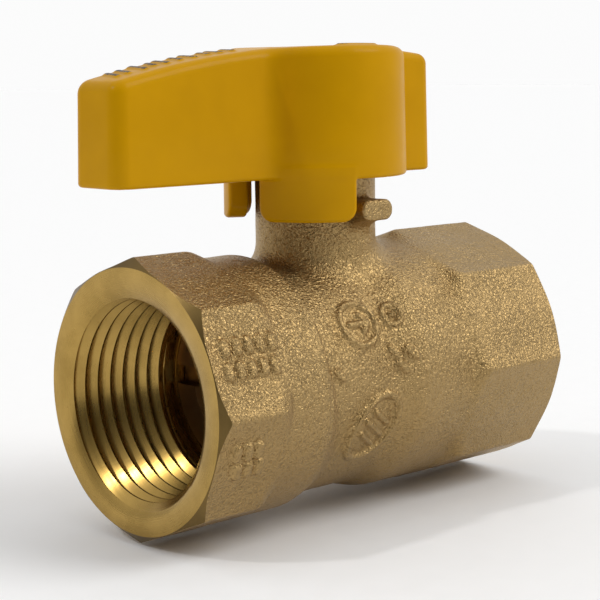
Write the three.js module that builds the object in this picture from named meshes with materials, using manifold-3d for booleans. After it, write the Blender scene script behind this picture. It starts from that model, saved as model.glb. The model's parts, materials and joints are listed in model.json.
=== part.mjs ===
// Quarter-turn gas ball valve, 3/4 inch female pipe thread at both ends, with a short cast lever.
// Millimetres, +Z up. The pipe axis is X, and gas enters at the inlet port, whose face centre is the origin.
// Sizes below are measured from the stem axis; the whole valve is moved along X at the end.
import * as THREE from 'three';
import { mergeVertices } from 'three/addons/utils/BufferGeometryUtils.js';
import Module from 'manifold-3d';

const wasm = await Module();
wasm.setup();

// ---- Driving dimensions ----------------------------------------------------------------------------

// Pipe thread, 3/4 inch at 14 turns to the inch, tapering 1 in 16 on the diameter
const PITCH = 25.4 / 14;
const THREAD_TURNS = 8;
const THREAD_DEPTH = 0.8 * PITCH;
const THREAD_CREST_R = 11.83;
const THREAD_TAPER = 1 / 32;
const ENTRY_R = 13.4;
const ENTRY_DEPTH = 0.9;

// Body
const HALF_LENGTH = 29.3;
const FLATS = 31.0;
const SIDES = 8;
const INLET_FLATS_END = -18.4;
const OUTLET_FLATS_START = 12.6;
const BARREL_R = 15.6;
const BARREL_END = -12.4;
const WAIST_R = 14.5;
const SHOULDER_START = -1.0;
const SHOULDER_END = 4.4;
const CORNER_TRIM = 0.85;

// Neck and stop peg
const NECK_R = 7.5;
const NECK_TOP = 26.4;
const NECK_FOOT_R = 8.4;
const NECK_FOOT_Z = 13.2;
const NECK_FOOT_TOP = 15.4;
const PEG_WIDTH = 5.0;
const PEG_HEIGHT = 2.5;
const PEG_Z = 20.8;
const PEG_REACH = 11.1;
const PEG_RIB_DROP = 2.6;

// Ball chamber and flow way
const CHAMBER_R = 11.0;
const CHAMBER_END = 10.3;
const PORT_R = 7.0;
const BALL_R = 10.25;
const SEAT_R = 10.7;
const SEAT_OUTER_X = 10.1;
const SEAT_INNER_X = 6.6;
const SEAT_GAP = 0.15;

// Seat retainer ring
const RETAINER_R = 10.8;
const RETAINER_INNER_X = -10.3;
const RETAINER_OUTER_X = -14.3;
const RETAINER_SLOT = 2.4;
const RETAINER_SLOT_DEPTH = 1.6;

// Stem
const STEM_R = 4.5;
const STEM_HOLE_R = 4.6;
const STEM_FOOT_R = 5.5;
const STEM_FOOT_Z = 10.6;
const STEM_FOOT_TOP = 12.1;
const STEM_SHOULDER_Z = 27.2;
const STEM_TOP = 34.2;
const STEM_FLATS = 6.4;
const TANG_WIDTH = 3.9;
const TANG_LENGTH = 9.0;
const TANG_Z = 8.2;
const SLOT_WIDTH = 4.1;
const SLOT_Z = 7.9;
const WASHER_TOP = 12.9;
const RING_SECTION_R = 0.74;
const RING_GROOVE_R = 3.0;
const RING_GROOVE_HEIGHT = 2.0;
const RING_HEIGHTS = { stem_o_ring_lower: 16.2, stem_o_ring_upper: 21.2 };

// Handle
const HUB_R = 11.4;
const HANDLE_BOTTOM = 24.7;
const HANDLE_TOP = 40.7;
const CROWN_R = 135;
const LEVER_HALF_WIDTH = 4.35;
const LEVER_REACH = 33.7;
const LOBE_REACH = 17.3;
const LEVER_CORNER_R = 2.0;
const SKIRT_R = 8.9;
const SKIRT_BOTTOM = 19.6;
const CAP_UNDERSIDE = 27.4;
const SCREW_SEAT = 34.7;
const SCREW_RECESS_R = 4.9;
// Each tab of the skirt runs between two angles, measured from the lever's side towards the stop peg's side
const SKIRT_TABS = [[10, 72.7], [197.3, 255], [290, 340]];

// Handle screw and spring washer
const SCREW_R = 2.0;
const SCREW_HOLE_R = 2.15;
const SCREW_END = 27.0;
const SCREW_HEAD_R = 4.0;
const SCREW_HEAD_HEIGHT = 2.6;
const SPRING_WASHER_R = 3.9;
const SPRING_WASHER_HEIGHT = 0.9;
const SCREW_CROSS = 1.0;
const REST_GAP = 0.05;

// Facets round a full turn
const BODY_FACETS = 48;
const THREAD_FACETS = 32;
const SMALL_FACETS = 24;

// ---- Materials -------------------------------------------------------------------------------------

function finish(color, roughness, metalness) {
  return new THREE.MeshStandardMaterial({ color, roughness, metalness });
}

const FORGED_BRASS = finish(0x9c8350, 0.5, 1);
const MACHINED_BRASS = finish(0xb9974f, 0.3, 1);
const CHROME = finish(0xd6d8da, 0.12, 1);
const PTFE = finish(0xf2f0ea, 0.5, 0);
const NITRILE = finish(0x1b1b1c, 0.7, 0);
const YELLOW_COAT = finish(0xd69a12, 0.3, 0);
const ZINC_STEEL = finish(0xb4b6b8, 0.35, 1);

// ---- Solids ----------------------------------------------------------------------------------------

// A closed three.js geometry as a manifold solid, with its faces turned outwards.
function solid(geometry) {
  const bare = geometry.index ? geometry.toNonIndexed() : geometry.clone();
  bare.deleteAttribute('normal');
  bare.deleteAttribute('uv');
  const merged = mergeVertices(bare, 1e-4);
  const position = merged.attributes.position;
  const corner = (i) => new THREE.Vector3().fromBufferAttribute(position, i);
  const triangles = [];
  let volume = 0;
  for (let i = 0; i < merged.index.count; i += 3) {
    const [a, b, c] = [0, 1, 2].map((k) => merged.index.getX(i + k));
    if (a === b || b === c || c === a) continue;
    triangles.push([a, b, c]);
    volume += corner(a).dot(corner(b).cross(corner(c)));
  }
  const outward = volume > 0 ? triangles : triangles.map(([a, b, c]) => [a, c, b]);
  return new wasm.Manifold(new wasm.Mesh({
    numProp: 3,
    vertProperties: new Float32Array(position.array),
    triVerts: new Uint32Array(outward.flat()),
  }));
}

function join(...solids) {
  return solids.reduce((whole, next) => whole.add(next));
}

function cut(whole, ...tools) {
  return tools.reduce((left, tool) => left.subtract(tool), whole);
}

// A solid of revolution. The outline is a list of [radius, height]; it closes on itself.
function turned(outline, facets) {
  const points = [...outline, outline[0]].map(([radius, height]) => new THREE.Vector2(radius, height));
  return new THREE.LatheGeometry(points, facets);
}

function turnedAboutX(outline, facets = BODY_FACETS) {
  return solid(turned(outline, facets).rotateZ(-Math.PI / 2));
}

function turnedAboutZ(outline, facets = SMALL_FACETS) {
  return solid(turned(outline, facets).rotateX(Math.PI / 2));
}

function disc(radius, low, high, facets = SMALL_FACETS) {
  return turnedAboutZ([[0, low], [radius, low], [radius, high], [0, high]], facets);
}

function box(low, high) {
  const size = high.map((value, axis) => value - low[axis]);
  const middle = high.map((value, axis) => (value + low[axis]) / 2);
  return solid(new THREE.BoxGeometry(...size).translate(...middle));
}

function extruded(shape, depth, curveSegments = 8) {
  return new THREE.ExtrudeGeometry(shape, { depth, bevelEnabled: false, curveSegments });
}

function piece(name, body, material) {
  const { vertProperties, triVerts } = body.getMesh();
  const geometry = new THREE.BufferGeometry();
  geometry.setAttribute('position', new THREE.BufferAttribute(new Float32Array(vertProperties), 3));
  geometry.setIndex(new THREE.BufferAttribute(new Uint32Array(triVerts), 1));
  geometry.computeVertexNormals();
  const mesh = new THREE.Mesh(geometry, material);
  mesh.name = name;
  return mesh;
}

// ---- Valve body ------------------------------------------------------------------------------------

// One spanner octagon with a corner up, trimmed by a cone at the port face and by one at its inner end.
function octagon(inner, face) {
  const cornerR = FLATS / 2 / Math.cos(Math.PI / SIDES);
  const shape = new THREE.Shape();
  for (let corner = 0; corner < SIDES; corner += 1) {
    const angle = (2 * Math.PI * corner) / SIDES;
    const move = corner === 0 ? 'moveTo' : 'lineTo';
    shape[move](cornerR * Math.cos(angle), cornerR * Math.sin(angle));
  }
  const low = Math.min(inner, face);
  const prism = solid(extruded(shape, Math.abs(face - inner)).rotateY(Math.PI / 2).translate(low, 0, 0));
  const out = Math.sign(face - inner);
  const trim = turnedAboutX([
    [0, inner],
    [FLATS / 2 - 0.4, inner],
    [cornerR + 0.2, inner + 1.6 * out],
    [cornerR + 0.2, face - CORNER_TRIM * out],
    [FLATS / 2 + 0.05, face],
    [0, face],
  ]);
  return prism.intersect(trim);
}

// The round middle of the forging: inlet barrel, waist under the neck, and shoulder up to the outlet octagon.
function barrel() {
  const outline = [[0, -HALF_LENGTH + 1], [FLATS / 2 - 0.6, -HALF_LENGTH + 1], [BARREL_R, INLET_FLATS_END - 1]];
  outline.push([BARREL_R, BARREL_END]);
  const drop = BARREL_R - WAIST_R;
  for (let step = 1; step <= 4; step += 1) {
    const angle = (step * Math.PI) / 8;
    outline.push([WAIST_R + drop * Math.cos(angle), BARREL_END + drop * Math.sin(angle)]);
  }
  const rise = SHOULDER_END - SHOULDER_START;
  for (let step = 0; step <= 6; step += 1) {
    const part = step / 6;
    const lift = (1 - Math.cos(Math.PI * part)) / 2;
    outline.push([WAIST_R + drop * lift, SHOULDER_START + rise * part]);
  }
  outline.push([BARREL_R, OUTLET_FLATS_START + 1], [FLATS / 2 - 0.6, HALF_LENGTH - 1], [0, HALF_LENGTH - 1]);
  return turnedAboutX(outline);
}

// The neck that holds the stem, with a flared foot.
function neck() {
  const outline = [[0, NECK_FOOT_Z - 6], [NECK_FOOT_R, NECK_FOOT_Z - 6], [NECK_FOOT_R, NECK_FOOT_Z]];
  const flare = NECK_FOOT_R - NECK_R;
  for (let step = 1; step <= 4; step += 1) {
    const angle = (step * Math.PI) / 8;
    const radius = NECK_R + flare * (1 - Math.sin(angle));
    outline.push([radius, NECK_FOOT_TOP - (NECK_FOOT_TOP - NECK_FOOT_Z) * Math.cos(angle)]);
  }
  outline.push([NECK_R, NECK_TOP - 0.5], [NECK_R - 0.5, NECK_TOP], [0, NECK_TOP]);
  return turnedAboutZ(outline, BODY_FACETS);
}

// The stop peg: a bar with a pill-shaped end, on a rib that runs down into the neck.
function stopPeg() {
  const round = PEG_HEIGHT / 2;
  const straight = PEG_WIDTH / 2 - round;
  const pill = new THREE.Shape();
  pill.moveTo(-straight, -round);
  pill.lineTo(straight, -round);
  pill.absarc(straight, 0, round, -Math.PI / 2, Math.PI / 2, false);
  pill.lineTo(-straight, round);
  pill.absarc(-straight, 0, round, Math.PI / 2, (3 * Math.PI) / 2, false);
  const bar = solid(extruded(pill, PEG_REACH - 6).rotateX(Math.PI / 2).translate(0, -6, PEG_Z));
  const rib = new THREE.Shape();
  rib.moveTo(6, PEG_Z);
  rib.lineTo(PEG_REACH - 2, PEG_Z);
  rib.lineTo(PEG_REACH - 2.4, PEG_Z - round);
  rib.lineTo(NECK_R - 0.2, PEG_Z - round - PEG_RIB_DROP);
  rib.lineTo(6, PEG_Z - round - PEG_RIB_DROP);
  const plate = solid(extruded(rib, 2 * straight).rotateX(Math.PI / 2).translate(0, straight, 0)
    .rotateZ(-Math.PI / 2));
  return join(bar, plate);
}

// The cutter for one threaded port. The grooves are closed rings of the thread's pitch, depth and taper.
function portCutter(side) {
  const face = HALF_LENGTH;
  const outline = [[0, side * (face + 1)], [ENTRY_R + 1, side * (face + 1)], [ENTRY_R, side * face]];
  const start = face - ENTRY_DEPTH;
  for (let turn = 0; turn < THREAD_TURNS; turn += 1) {
    const depth = turn * PITCH;
    const crest = THREAD_CREST_R - depth * THREAD_TAPER;
    outline.push([crest, side * (start - depth)]);
    outline.push([crest + THREAD_DEPTH, side * (start - depth - PITCH / 2)]);
  }
  const end = start - THREAD_TURNS * PITCH;
  const last = THREAD_CREST_R - THREAD_TURNS * PITCH * THREAD_TAPER;
  outline.push([last, side * end], [0, side * end]);
  return turnedAboutX(outline, THREAD_FACETS);
}

function valveBody() {
  const chamberStart = -HALF_LENGTH + ENTRY_DEPTH + THREAD_TURNS * PITCH - 0.5;
  const chamber = turnedAboutX([
    [0, chamberStart], [CHAMBER_R, chamberStart], [CHAMBER_R, CHAMBER_END], [0, CHAMBER_END],
  ]);
  const outletPort = turnedAboutX([
    [0, CHAMBER_END - 1], [PORT_R, CHAMBER_END - 1], [PORT_R, HALF_LENGTH - 10], [0, HALF_LENGTH - 10],
  ]);
  const stemHole = turnedAboutZ([
    [0, 8], [STEM_FOOT_R + 0.2, 8], [STEM_FOOT_R + 0.2, WASHER_TOP + REST_GAP],
    [STEM_HOLE_R, WASHER_TOP + REST_GAP], [STEM_HOLE_R, NECK_TOP + 1], [0, NECK_TOP + 1],
  ]);
  const forging = join(
    barrel(),
    octagon(INLET_FLATS_END, -HALF_LENGTH),
    octagon(OUTLET_FLATS_START, HALF_LENGTH),
    neck(),
    stopPeg(),
  );
  return cut(forging, portCutter(-1), portCutter(1), chamber, outletPort, stemHole);
}

// ---- Ball, seats and retainer ----------------------------------------------------------------------

function ball() {
  const sphere = solid(new THREE.SphereGeometry(BALL_R, 32, 20));
  const bore = turnedAboutX([[0, -12], [PORT_R, -12], [PORT_R, 12], [0, 12]], THREAD_FACETS);
  const slot = box([-SLOT_WIDTH / 2, -12, SLOT_Z], [SLOT_WIDTH / 2, 12, 12]);
  return cut(sphere, bore, slot);
}

// One seat ring: a plain back and rim, and a hollow front that takes the ball.
function seat(side) {
  const outline = [[PORT_R + 0.15, side * SEAT_OUTER_X], [SEAT_R, side * SEAT_OUTER_X]];
  const cup = BALL_R + SEAT_GAP;
  outline.push([SEAT_R, side * SEAT_INNER_X]);
  const outerX = SEAT_INNER_X;
  const innerX = Math.sqrt(cup ** 2 - (PORT_R + 0.15) ** 2);
  const steps = 2;
  for (let step = 0; step <= steps; step += 1) {
    const x = outerX + ((innerX - outerX) * step) / steps;
    outline.push([Math.sqrt(cup ** 2 - x ** 2), side * x]);
  }
  return turnedAboutX(outline, THREAD_FACETS);
}

function seatRetainer() {
  const ring = turnedAboutX([
    [PORT_R, RETAINER_OUTER_X], [RETAINER_R, RETAINER_OUTER_X],
    [RETAINER_R, RETAINER_INNER_X], [PORT_R, RETAINER_INNER_X],
  ], THREAD_FACETS);
  const slotEnd = RETAINER_OUTER_X + RETAINER_SLOT_DEPTH;
  const slots = box(
    [RETAINER_OUTER_X - 1, -RETAINER_R - 1, -RETAINER_SLOT / 2],
    [slotEnd, RETAINER_R + 1, RETAINER_SLOT / 2],
  );
  return cut(ring, slots);
}

// ---- Stem and its seals ----------------------------------------------------------------------------

function flatted(radius, flats, low, high) {
  return disc(radius, low, high).intersect(box([-flats / 2, -radius - 1, low], [flats / 2, radius + 1, high]));
}

function stem() {
  const outline = [
    [0, STEM_FOOT_Z], [STEM_FOOT_R, STEM_FOOT_Z], [STEM_FOOT_R, STEM_FOOT_TOP], [STEM_R, STEM_FOOT_TOP],
  ];
  for (const height of Object.values(RING_HEIGHTS)) {
    const low = height - RING_GROOVE_HEIGHT / 2;
    const high = height + RING_GROOVE_HEIGHT / 2;
    outline.push([STEM_R, low], [RING_GROOVE_R, low], [RING_GROOVE_R, high], [STEM_R, high]);
  }
  outline.push([STEM_R, STEM_SHOULDER_Z], [0, STEM_SHOULDER_Z]);
  const tang = box([-TANG_WIDTH / 2, -TANG_LENGTH / 2, TANG_Z], [TANG_WIDTH / 2, TANG_LENGTH / 2, STEM_FOOT_Z + 0.5]);
  const drive = flatted(STEM_R, STEM_FLATS, STEM_SHOULDER_Z - 0.5, STEM_TOP);
  return cut(join(turnedAboutZ(outline), tang, drive), disc(SCREW_HOLE_R, SCREW_END - 1, STEM_TOP + 1));
}

function thrustWasher() {
  const low = STEM_FOOT_TOP + REST_GAP;
  return turnedAboutZ([[STEM_R + 0.1, low], [STEM_FOOT_R, low], [STEM_FOOT_R, WASHER_TOP], [STEM_R + 0.1, WASHER_TOP]]);
}

function stemRing(height) {
  const ring = new THREE.TorusGeometry(RING_GROOVE_R + RING_SECTION_R + 0.04, RING_SECTION_R, 8, SMALL_FACETS);
  return solid(ring.translate(0, 0, height));
}

// ---- Handle ----------------------------------------------------------------------------------------

// The lever and the short lobe opposite it: one bar with rounded corners.
function leverBar() {
  const r = LEVER_CORNER_R;
  const w = LEVER_HALF_WIDTH;
  const bar = new THREE.Shape();
  bar.moveTo(-LEVER_REACH + r, -w);
  bar.lineTo(LOBE_REACH - r, -w);
  bar.absarc(LOBE_REACH - r, -w + r, r, -Math.PI / 2, 0, false);
  bar.absarc(LOBE_REACH - r, w - r, r, 0, Math.PI / 2, false);
  bar.absarc(-LEVER_REACH + r, w - r, r, Math.PI / 2, Math.PI, false);
  bar.absarc(-LEVER_REACH + r, -w + r, r, Math.PI, (3 * Math.PI) / 2, false);
  return solid(extruded(bar, HANDLE_TOP - HANDLE_BOTTOM, 6).translate(0, 0, HANDLE_BOTTOM));
}

// Everything under the handle's crowned top, which falls away from the stem axis along a large arc.
function crown() {
  const side = new THREE.Shape();
  const centre = HANDLE_TOP - CROWN_R;
  const start = Math.asin((LOBE_REACH + 1) / CROWN_R);
  const end = Math.asin((LEVER_REACH + 1) / CROWN_R);
  const steps = 14;
  side.moveTo(LOBE_REACH + 1, SKIRT_BOTTOM - 1);
  for (let step = 0; step <= steps; step += 1) {
    const angle = start - ((start + end) * step) / steps;
    side.lineTo(CROWN_R * Math.sin(angle), centre + CROWN_R * Math.cos(angle));
  }
  side.lineTo(-LEVER_REACH - 1, SKIRT_BOTTOM - 1);
  return solid(extruded(side, 4 * HUB_R).rotateX(Math.PI / 2).translate(0, 2 * HUB_R, 0));
}

// One hanging tab of the skirt, between two angles counted from -X towards -Y.
function skirtTab([from, to]) {
  const start = THREE.MathUtils.degToRad(180 + from);
  const end = THREE.MathUtils.degToRad(180 + to);
  const arc = new THREE.Shape();
  arc.absarc(0, 0, HUB_R, start, end, false);
  arc.absarc(0, 0, SKIRT_R, end, start, true);
  return solid(extruded(arc, HANDLE_BOTTOM + 1 - SKIRT_BOTTOM, 10).translate(0, 0, SKIRT_BOTTOM));
}

function handle() {
  const casting = join(disc(HUB_R, HANDLE_BOTTOM, HANDLE_TOP, BODY_FACETS), leverBar()).intersect(crown());
  const neckPocket = disc(SKIRT_R, SKIRT_BOTTOM - 1, CAP_UNDERSIDE, BODY_FACETS);
  const driveHole = flatted(STEM_R + 0.1, STEM_FLATS + 0.2, CAP_UNDERSIDE - 1, SCREW_SEAT + 1);
  const screwRecess = disc(SCREW_RECESS_R, SCREW_SEAT, HANDLE_TOP + 1);
  return cut(join(cut(casting, neckPocket), ...SKIRT_TABS.map(skirtTab)), driveHole, screwRecess);
}

function springWasher() {
  const low = SCREW_SEAT + REST_GAP;
  const high = low + SPRING_WASHER_HEIGHT;
  const ring = turnedAboutZ([
    [SCREW_R + 0.15, low], [SPRING_WASHER_R, low], [SPRING_WASHER_R, high], [SCREW_R + 0.15, high],
  ]);
  const split = box([-0.4, SCREW_R - 1, low - 1], [0.4, SPRING_WASHER_R + 1, high + 1]);
  return cut(ring, split);
}

function handleScrew() {
  const headLow = SCREW_SEAT + SPRING_WASHER_HEIGHT + 3 * REST_GAP;
  const headTop = headLow + SCREW_HEAD_HEIGHT;
  const screw = turnedAboutZ([
    [0, SCREW_END], [SCREW_R - 0.4, SCREW_END], [SCREW_R, SCREW_END + 0.4], [SCREW_R, headLow],
    [SCREW_HEAD_R, headLow], [SCREW_HEAD_R, headTop - 1], [SCREW_HEAD_R * 0.7, headTop], [0, headTop],
  ]);
  const half = SCREW_CROSS / 2;
  const blade = box([-2.4, -half, headTop - 1.6], [2.4, half, headTop + 1]);
  const across = box([-half, -2.4, headTop - 1.6], [half, 2.4, headTop + 1]);
  return cut(screw, blade, across);
}

// ---- Assembly --------------------------------------------------------------------------------------

const fixed = new THREE.Group();
fixed.add(piece('valve_body', valveBody(), FORGED_BRASS));
fixed.add(piece('seat_retainer', seatRetainer(), MACHINED_BRASS));
fixed.add(piece('inlet_seat', seat(-1), PTFE));
fixed.add(piece('outlet_seat', seat(1), PTFE));
fixed.add(piece('thrust_washer', thrustWasher(), PTFE));

const plug = new THREE.Group();
plug.add(piece('ball', ball(), CHROME));

const turning = new THREE.Group();
turning.add(piece('stem', stem(), MACHINED_BRASS));
for (const [name, height] of Object.entries(RING_HEIGHTS)) {
  turning.add(piece(name, stemRing(height), NITRILE));
}
turning.add(piece('handle', handle(), YELLOW_COAT));
turning.add(piece('spring_washer', springWasher(), ZINC_STEEL));
turning.add(piece('handle_screw', handleScrew(), ZINC_STEEL));

const valve = new THREE.Group();
valve.add(fixed, plug, turning);
valve.position.set(HALF_LENGTH, 0, 0);
valve.updateMatrixWorld(true);

export default valve;
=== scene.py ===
"""Looks for a quarter-turn gas ball valve: forged brass body, threaded ports, yellow-coated cast lever.

Shapes are worked out in millimetres from the point where the stem axis crosses the pipe axis ("stem frame"),
and are moved into the row frame, in metres, when their mesh is made.
"""
import json
import math

import bpy
import numpy as np
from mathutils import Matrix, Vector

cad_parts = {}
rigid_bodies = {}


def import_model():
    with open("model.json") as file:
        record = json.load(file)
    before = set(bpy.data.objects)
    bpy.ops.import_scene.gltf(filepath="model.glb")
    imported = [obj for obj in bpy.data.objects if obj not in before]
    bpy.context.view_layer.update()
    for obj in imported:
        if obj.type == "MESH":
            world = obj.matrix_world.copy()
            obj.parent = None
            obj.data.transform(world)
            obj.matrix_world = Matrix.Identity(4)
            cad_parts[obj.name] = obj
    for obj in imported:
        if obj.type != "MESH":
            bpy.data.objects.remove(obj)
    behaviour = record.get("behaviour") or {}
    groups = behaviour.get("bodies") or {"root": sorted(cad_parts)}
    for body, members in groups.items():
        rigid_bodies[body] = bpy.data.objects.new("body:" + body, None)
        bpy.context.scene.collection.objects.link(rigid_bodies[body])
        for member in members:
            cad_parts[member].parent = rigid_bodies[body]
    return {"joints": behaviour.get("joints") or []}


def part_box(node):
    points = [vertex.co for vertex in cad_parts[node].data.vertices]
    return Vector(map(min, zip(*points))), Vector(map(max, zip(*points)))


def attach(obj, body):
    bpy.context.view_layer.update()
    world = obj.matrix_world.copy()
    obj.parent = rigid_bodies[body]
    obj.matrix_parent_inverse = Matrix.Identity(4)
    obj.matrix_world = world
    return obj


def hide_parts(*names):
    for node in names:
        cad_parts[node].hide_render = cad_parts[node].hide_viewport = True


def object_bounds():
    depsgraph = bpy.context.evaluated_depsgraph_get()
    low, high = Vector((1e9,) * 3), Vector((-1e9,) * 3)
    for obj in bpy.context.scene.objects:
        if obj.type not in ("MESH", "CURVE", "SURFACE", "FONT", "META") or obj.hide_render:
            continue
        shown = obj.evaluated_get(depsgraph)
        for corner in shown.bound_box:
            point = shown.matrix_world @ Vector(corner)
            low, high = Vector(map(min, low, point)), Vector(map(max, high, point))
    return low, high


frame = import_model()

import openvdb
from mathutils import Matrix, Vector

CAD_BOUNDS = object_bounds()
MM = 0.001

# ---- Sizes from the frame --------------------------------------------------------------------------

BODIES = {joint["name"]: joint["child"] for joint in frame["joints"]}
VALVE = frame["joints"][0]["parent"]
HANDLE_SET = BODIES["handle_turn"]
BALL = BODIES["ball_turn"]
STEM_AXIS_X = frame["joints"][0]["pos_m"][0]


def node_box(node):
    """Lowest and highest corner of a CAD node, in millimetres in the stem frame."""
    low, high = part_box(node)
    shift = Vector((STEM_AXIS_X, 0, 0))
    return [(corner - shift) / MM for corner in (low, high)]


BODY_HIGH = node_box("valve_body")[1]
HANDLE_LOW, HANDLE_HIGH = node_box("handle")
BALL_HIGH = node_box("ball")[1]

# ---- Sizes of the body, in millimetres ---------------------------------------------------------------

FACE = BODY_HIGH.x
FACING_STOCK = 0.3
APOTHEM = 15.5
FACET_ANGLE = math.pi / 4
CORNER_R = APOTHEM / math.cos(FACET_ANGLE / 2)
CORNER_ROUND = 0.7
FACE_RING_R = 15.55
CORNER_TRIM = 0.9

# Where the flats run out into the barrel: place, lean (how much earlier at the corners), slope and softness
INLET_RUNOUT = (-18.4, 1.2, 0.64, 0.9)
OUTLET_RUNOUT = (12.6, 0.95, 0.72, 0.8)

BARREL_R = 15.6
WAIST_R = 14.5
BARREL_END = -12.4
SHOULDER = (-1.2, 4.6)
CREASE_DEPTH = 0.26
CREASE_HALF_WIDTH = 0.22
FALL_LENGTH = 1.0
FALL_LENGTH_BELOW = 2.6

NECK_R = 7.5
NECK_TOP = BODY_HIGH.z
NECK_START_Z = 6.0
NECK_FILLET = 2.6
PEG_Z = 20.8
PEG_HALF_WIDTH = 2.5
PEG_HALF_HEIGHT = 1.25
PEG_REACH = 11.1
PEG_START = 5.0
PEG_END_ROUND = 0.35
RIB_DROP = 1.6
RIB_HALF_WIDTH = 2.0
RIB_HALF_HEIGHT = 2.4
RIB_ROUND = 0.8
RIB_SHORTER = 0.8
RIB_SLOPE = (0.86, 0.5)  # its shares downwards and outwards

PITCH = 25.4 / 14
THREAD_TURNS = 8.4
THREAD_DEPTH = 0.56 * PITCH
THREAD_CREST_R = 11.83
THREAD_TAPER = 1 / 32
# The groove over one pitch, as (share of the pitch, share of the depth): the flank facing the mouth is wider
THREAD_PROFILE = ((0.0, 0.0), (0.38, 1.0), (0.44, 1.0), (0.96, 0.0))
THREAD_LEAD = 0.6 * PITCH
THREAD_FADE = 0.8 * PITCH
THREAD_UNDERCUT = 0.05
ENTRY_R = 13.4
ENTRY_DEPTH = 0.9
RUNOUT_DEPTH = 0.7
OUTLET_BORE_STEP = 0.55
TAPER_LENGTH = 15
FACING_R = 20
CHAMBER_R = 11.0
CHAMBER_START = 14 - FACE
CHAMBER_END = 10.3
PORT_R = 7.0
OUTLET_END = FACE - 10
STEM_HOLE_R = 4.6
STEM_HOLE_LOW = 8
STEM_FOOT_HOLE_R = 5.7
STEM_FOOT_HOLE_TOP = 12.95

# ---- Sizes of the handle, in millimetres -------------------------------------------------------------

HUB_R = HANDLE_HIGH.y
HANDLE_TOP = HANDLE_HIGH.z
HANDLE_BOTTOM = 24.7
SKIRT_BOTTOM = HANDLE_LOW.z
SKIRT_R = 8.9
CROWN_R = 135.0
LEVER_REACH = -HANDLE_LOW.x
LOBE_REACH = HANDLE_HIGH.x
LEVER_HALF_WIDTH = 4.35
LEVER_CORNER_R = 2.0
DRAFT = 0.022
TOP_ROUND = 1.2
TOP_RELIEF = 0.22
BOTTOM_ROUND = 0.45
TAB_CORNER_R = 1.7
TAB_EDGE_R = 0.35
POCKET_TOP = 27.4
SCREW_SEAT = 34.7
SCREW_RECESS_R = 4.9
SKIRT_TABS = ((10.0, 72.7), (197.3, 255.0), (290.0, 340.0))

# ---- Raised marks, in millimetres --------------------------------------------------------------------

RELIEF_HEIGHT = 0.42
RELIEF_STROKE = 0.32
STROKE_EDGE = (-0.2, 0.3)
TOP_STROKE = 0.35

# Oval pads on the inlet facets: rows of (middle across the facet, places along the pipe)
UPPER_PADS = ((-1.8, (-26.9, -25.2, -23.5, -21.8, -20.1)), (0.9, (-27.2, -25.5, -23.8, -22.1, -20.4)))
LOWER_PADS = ((-2.2, (-26.6, -25.0, -23.4)), (0.1, (-26.0, -24.4, -22.8)))
UPPER_FACET = 292.5
LOWER_FACET = 247.5
PAD_HALF_LENGTH = 0.45
PAD_EXTRA = 0.25

# Marks on the waist, placed by (x, degrees from the top towards -Y)
ARROW_RING = (-4.9, 58.1)
ARROW_RING_R = 2.75
ARROW_HALF = 1.5
ARROW_BARB = 1.1
DOT_RING = (0.7, 56.4)
DOT_RING_R = 1.25
OVAL = (-3.7, 109.5)
OVAL_HALVES = (3.1, 4.6)
OVAL_BARS = ((-1.6, 1.3), (0, 1.7), (1.6, 1.3))
SLANT_PADS = (((-9.9, 80.2), 0.35), ((-0.4, 74.6), 0.5), ((1.9, 75.4), 0.5), ((0.5, 81.4), 0.4))
SLANT_PAD_EXTRA = 0.15

# Bars on the lever's top, as (place, half length), and one strip on the hub
TOP_BARS = ((-30.6, 1.5), (-29.1, 1.5), (-27.0, 1.9), (-25.2, 1.2), (-23.7, 1.7),
            (-21.6, 1.5), (-19.8, 1.8), (-17.4, 1.4), (-15.9, 1.8), (-13.8, 1.5))
TOP_BAR_LEAN = 0.8
TOP_BAR_Y = 0.9
HUB_STRIP = ((-3.2, -8.2), (1.6, -8.2))
HUB_STRIP_EXTRA = 0.3

# ---- Sizes of the inner pieces, in millimetres -------------------------------------------------------

BALL_R = BALL_HIGH.x
SEAT_R = 10.7
SEAT_OUTER_X = 10.1
SEAT_INNER_X = 6.6
SEAT_CUP_R = BALL_R + 0.15
SEAT_BORE_R = PORT_R + 0.15
BALL_SLOT_HALF_WIDTH = 2.05
BALL_SLOT_Z = 7.9
BALL_CUT = BALL_R + 1
RETAINER_R = 10.8
RETAINER_THREAD = 0.5
RETAINER_X = (-14.3, -10.3)
RETAINER_SLOT = 2.4
RETAINER_SLOT_DEPTH = 1.6
STEM_R = 4.5
STEM_FOOT_R = 5.5
STEM_FOOT_Z = 10.6
STEM_FOOT_TOP = 12.1
STEM_SHOULDER_Z = 27.2
STEM_TOP = 34.2
STEM_FLATS = 6.4
STEM_SCREW_HOLE = (2.15, 26.0)
TANG_HALF = (1.95, 4.5)
TANG_LOW = 8.2
SLACK = 0.1
RING_GROOVE_R = 3.0
RING_GROOVE_HEIGHT = 2.0
RING_SECTION_R = 0.74
RING_HEIGHTS = {"stem_o_ring_lower": 16.2, "stem_o_ring_upper": 21.2}
SCREW_R = 2.0
SCREW_LOW = 27.0
SCREW_THREAD_STEP = 0.7
SCREW_THREAD_DEPTH = 0.35
CROSS_HALF = (2.4, 0.5)
CROSS_DEPTH = 1.6
SCREW_HEAD_R = 4.0
SCREW_HEAD_LOW = SCREW_SEAT + 1.05
SCREW_HEAD_TOP = SCREW_HEAD_LOW + 2.6
SCREW_DOME = ((1, 1), (0.9, 0.45), (0.7, 0.12), (0.45, 0), (0, 0))
WASHER_R = 3.9
WASHER_GAP_HALF = 0.4

# Spacing of the grids that the body's and the handle's surfaces are found on
BODY_VOXEL = 0.22
HANDLE_VOXEL = 0.22

# ---- Distance fields ---------------------------------------------------------------------------------


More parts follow.
